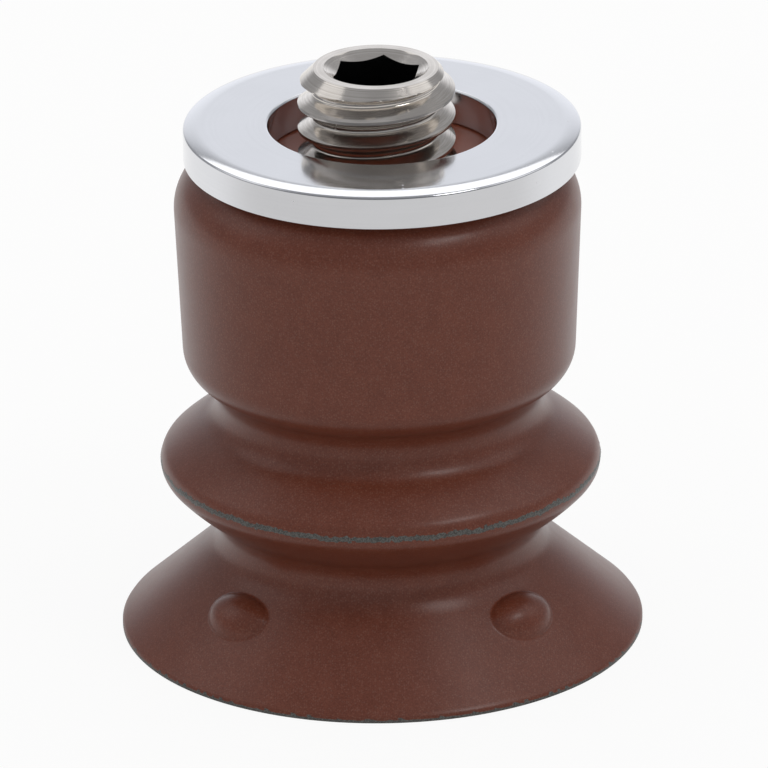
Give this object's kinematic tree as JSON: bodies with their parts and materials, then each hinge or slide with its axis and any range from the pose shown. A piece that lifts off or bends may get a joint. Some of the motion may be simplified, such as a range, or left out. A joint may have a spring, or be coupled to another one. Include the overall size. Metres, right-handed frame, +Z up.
{
  "type": "threaded vacuum suction cup",
  "caption": "Bellows suction cup of moulded brown rubber with a hollow hex-socket threaded stud and a loose polished washer, for vacuum gripping on a robot.",
  "frame": {"origin": "centre of the lip's sealing edge, where the cup stands on a surface", "axes": "+Z up the cup's axis to the thread's end; -Y faces the picture's camera"},
  "size_m": [0.0198, 0.0198, 0.0225],
  "materials": {
    "rubber": "satin moulded brown elastomer",
    "core_metal": "turned",
    "screw_steel": "rolled thread, satin",
    "washer_steel": "polished"
  },
  "bodies": {
    "collar": {"cup_collar": "rubber", "threaded_core": "core_metal"},
    "fold_crest": {"upper_fold_wall": "rubber"},
    "fold_foot": {"lower_fold_wall": "rubber"},
    "lip": {"sealing_lip": "rubber"},
    "screw": {"hollow_set_screw": "screw_steel"},
    "washer": {"loose_washer": "washer_steel"}
  },
  "joints": [
    {"name": "upper_fold_close", "type": "slide", "parent": "collar", "child": "fold_crest", "axis": [0, 0, 1], "range_m": [0, 0.0015], "stiffness_N_per_m": 1600, "deforming": ["upper_fold_wall"]},
    {"name": "lower_fold_close", "type": "slide", "parent": "fold_crest", "child": "fold_foot", "axis": [0, 0, 1], "range_m": [0, 0.002], "stiffness_N_per_m": 1200, "deforming": ["lower_fold_wall"]},
    {"name": "lip_tilt", "type": "hinge", "parent": "fold_foot", "child": "lip", "pos_m": [0, 0, 0.00345], "axis": [1, 0, 0], "range_deg": [-10, 10], "stiffness_Nm_per_rad": 0.05},
    {"name": "screw_turn", "type": "hinge", "parent": "collar", "child": "screw", "pos_m": [0, 0, 0.0189], "axis": [0, 0, 1], "continuous": true},
    {"name": "washer_lift", "type": "slide", "parent": "collar", "child": "washer", "axis": [0, 0, 1], "range_m": [0, 0.005]}
  ],
  "couplings": [
    {"joint": "lower_fold_close", "follows": "upper_fold_close", "ratio": 1.3333}
  ]
}
